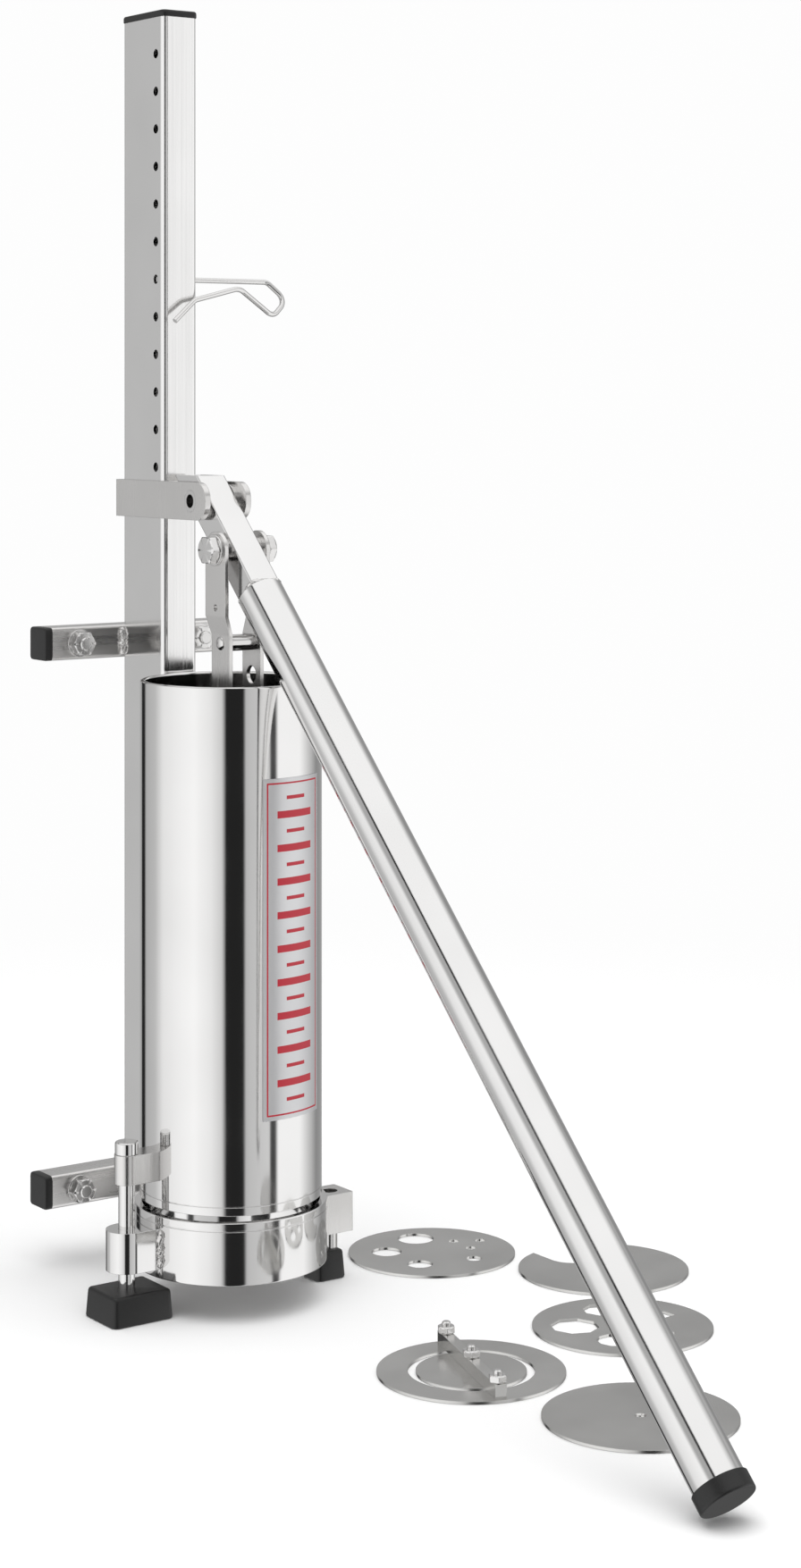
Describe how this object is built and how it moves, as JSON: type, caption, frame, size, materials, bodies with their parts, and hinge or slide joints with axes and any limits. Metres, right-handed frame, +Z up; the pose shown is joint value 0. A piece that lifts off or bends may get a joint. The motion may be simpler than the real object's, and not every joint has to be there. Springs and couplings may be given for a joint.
{
  "type": "pottery clay extruder",
  "caption": "Wall-mounted stainless lever press that pushes clay through a die in a hinged collar, with a long tube lever and spare dies.",
  "frame": {"origin": "centre of the four wall studs, on the wall plane", "axes": "+Z up, -Y the front, towards the user, +X the user's right when they face the machine"},
  "size_m": [0.437, 0.7366, 0.95],
  "materials": {
    "polished_stainless": "mirror polished",
    "satin_stainless": "satin",
    "fastener_steel": "bright",
    "weld_bead": "bright lumpy",
    "black_rubber": "matte",
    "label_film": "silver film with red graduations"
  },
  "bodies": {
    "frame": {"post_tube": "satin_stainless", "post_top_cap": "black_rubber", "upper_wall_bar": "satin_stainless", "lower_wall_bar": "satin_stainless", "upper_bar_caps": "black_rubber", "lower_bar_caps": "black_rubber", "wall_studs": "fastener_steel", "wall_washers": "fastener_steel", "wall_nuts": "fastener_steel", "bar_welds": "weld_bead", "barrel": "polished_stainless", "barrel_saddles": "satin_stainless", "label_plate": "label_film", "barrel_hinge_lug": "satin_stainless", "hinge_pin": "polished_stainless", "hinge_side_foot": "black_rubber", "pin_circlip": "fastener_steel"},
    "collar": {"die_collar": "polished_stainless", "collar_hinge_lug": "polished_stainless", "collar_latch_lug": "satin_stainless", "lug_welds": "weld_bead", "latch_side_foot": "black_rubber", "latch_foot_stud": "fastener_steel"},
    "yoke": {"yoke_strap": "satin_stainless", "yoke_pad": "satin_stainless", "fulcrum_sleeve": "fastener_steel", "fulcrum_spacers": "fastener_steel"},
    "lever": {"lever_head": "polished_stainless", "lever_tube": "polished_stainless", "lever_end_cap": "black_rubber", "head_weld": "weld_bead"},
    "plunger": {"plunger_spacers": "fastener_steel", "hinge_side_strap": "satin_stainless", "latch_side_strap": "satin_stainless", "plunger_bolt": "fastener_steel", "plunger_nut": "fastener_steel", "plunger_washers": "fastener_steel", "strap_rivet": "fastener_steel", "strap_foot_pin": "fastener_steel"},
    "piston": {"piston_plate": "satin_stainless", "piston_lug": "satin_stainless"},
    "clip": {"hitch_pin": "fastener_steel"},
    "round_die": {"round_hole_die": "satin_stainless"},
    "slot_die": {"slotted_die": "satin_stainless"},
    "polygon_die_body": {"polygon_die": "satin_stainless"},
    "blank": {"blank_die": "satin_stainless"},
    "pipe_die": {"pipe_die_ring": "satin_stainless", "pipe_die_core": "satin_stainless", "pipe_die_bridge": "satin_stainless", "pipe_die_bolts": "fastener_steel", "pipe_die_nuts": "fastener_steel"}
  },
  "joints": [
    {"name": "collar_swing", "type": "hinge", "parent": "frame", "child": "collar", "pos_m": [-0.088, -0.1565, -0.215], "axis": [0, 0, -1], "range_deg": [0, 100]},
    {"name": "yoke_slide", "type": "slide", "parent": "frame", "child": "yoke", "axis": [0, 0, 1], "range_m": [0, 0.11]},
    {"name": "lever_swing", "type": "hinge", "parent": "yoke", "child": "lever", "pos_m": [0, -0.131, 0.317], "axis": [-1, 0, 0], "range_deg": [0, 80]},
    {"name": "plunger_turn", "type": "hinge", "parent": "lever", "child": "plunger", "pos_m": [0, -0.16565, 0.28235], "axis": [-1, 0, 0], "range_deg": [-80, 0]},
    {"name": "piston_slide", "type": "slide", "parent": "yoke", "child": "piston", "axis": [0, 0, 1], "range_m": [0, 0.06275]},
    {"name": "clip_pull", "type": "slide", "parent": "frame", "child": "clip", "axis": [1, 0, 0], "range_m": [0, 0.04]},
    {"name": "round_die_lift", "type": "slide", "parent": "frame", "child": "round_die", "axis": [0, 0, 1], "range_m": [0, 0.05]},
    {"name": "slot_die_lift", "type": "slide", "parent": "frame", "child": "slot_die", "axis": [0, 0, 1], "range_m": [0, 0.05]},
    {"name": "polygon_die_body_lift", "type": "slide", "parent": "frame", "child": "polygon_die_body", "axis": [0, 0, 1], "range_m": [0, 0.05]},
    {"name": "blank_lift", "type": "slide", "parent": "frame", "child": "blank", "axis": [0, 0, 1], "range_m": [0, 0.05]},
    {"name": "pipe_die_lift", "type": "slide", "parent": "frame", "child": "pipe_die", "axis": [0, 0, 1], "range_m": [0, 0.05]}
  ],
  "couplings": [
    {"joint": "plunger_turn", "follows": "lever_swing", "ratio": -1},
    {"joint": "piston_slide", "follows": "lever_swing", "m_per_rad": 0.044944}
  ]
}
